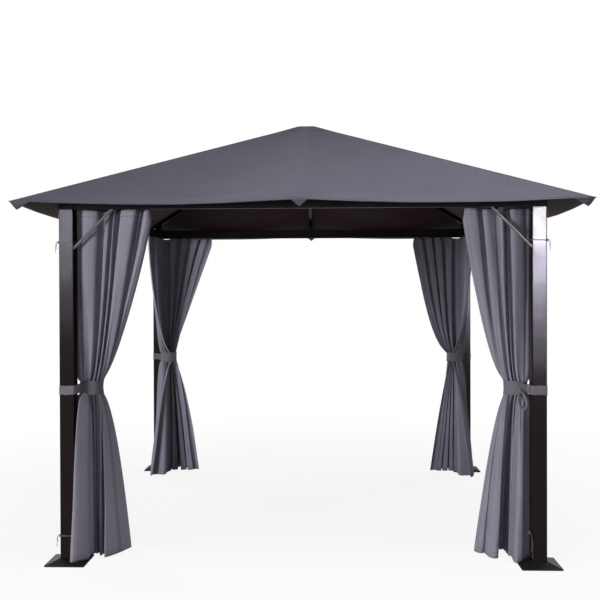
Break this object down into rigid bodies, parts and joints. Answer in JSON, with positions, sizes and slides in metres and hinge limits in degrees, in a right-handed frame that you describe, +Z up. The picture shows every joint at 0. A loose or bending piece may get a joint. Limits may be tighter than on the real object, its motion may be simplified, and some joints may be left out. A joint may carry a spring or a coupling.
{
  "type": "metal garden gazebo with fabric canopy and side curtains",
  "caption": "Square open garden shelter: steel tube posts, eave beams, braces and rafters under a four-sided fabric roof, with a curtain tied back at each corner.",
  "frame": {"origin": "on the ground, under the middle of the roof", "axes": "+Z up, front side at -Y, +X to the right seen from the front"},
  "size_m": [3, 3, 2.58],
  "materials": {
    "frame_metal": "satin dark brown-black powder coat",
    "rail_metal": "satin dark powder coat",
    "foot_plastic": "matt black moulded cover",
    "canopy_cloth": "coated woven polyester, dark grey",
    "curtain_cloth": "plain woven polyester, grey",
    "strap_cloth": "flat woven band, light grey"
  },
  "bodies": {
    "root": {"brace_back_left": "frame_metal", "brace_back_right": "frame_metal", "brace_front_left": "frame_metal", "brace_front_right": "frame_metal", "brace_left_back": "frame_metal", "brace_left_front": "frame_metal", "brace_right_back": "frame_metal", "brace_right_front": "frame_metal", "canopy": "canopy_cloth", "corner_bracket_back_left": "frame_metal", "corner_bracket_back_right": "frame_metal", "corner_bracket_front_left": "frame_metal", "corner_bracket_front_right": "frame_metal", "curtain_back_left": "curtain_cloth", "curtain_back_right": "curtain_cloth", "curtain_front_left": "curtain_cloth", "curtain_front_right": "curtain_cloth", "curtain_rail_back": "rail_metal", "curtain_rail_front": "rail_metal", "curtain_rail_left": "rail_metal", "curtain_rail_right": "rail_metal", "eave_beam_back": "frame_metal", "eave_beam_front": "frame_metal", "eave_beam_left": "frame_metal", "eave_beam_right": "frame_metal", "hip_rafter_back_left": "frame_metal", "hip_rafter_back_right": "frame_metal", "hip_rafter_front_left": "frame_metal", "hip_rafter_front_right": "frame_metal", "middle_rafter_back": "frame_metal", "middle_rafter_front": "frame_metal", "middle_rafter_left": "frame_metal", "middle_rafter_right": "frame_metal", "post_back_left": "frame_metal", "post_back_right": "frame_metal", "post_foot_back_left": "foot_plastic", "post_foot_back_right": "foot_plastic", "post_foot_front_left": "foot_plastic", "post_foot_front_right": "foot_plastic", "post_front_left": "frame_metal", "post_front_right": "frame_metal", "roof_hub": "frame_metal", "tie_back_back_left": "strap_cloth", "tie_back_back_right": "strap_cloth", "tie_back_front_left": "strap_cloth", "tie_back_front_right": "strap_cloth"}
  },
  "joints": []
}
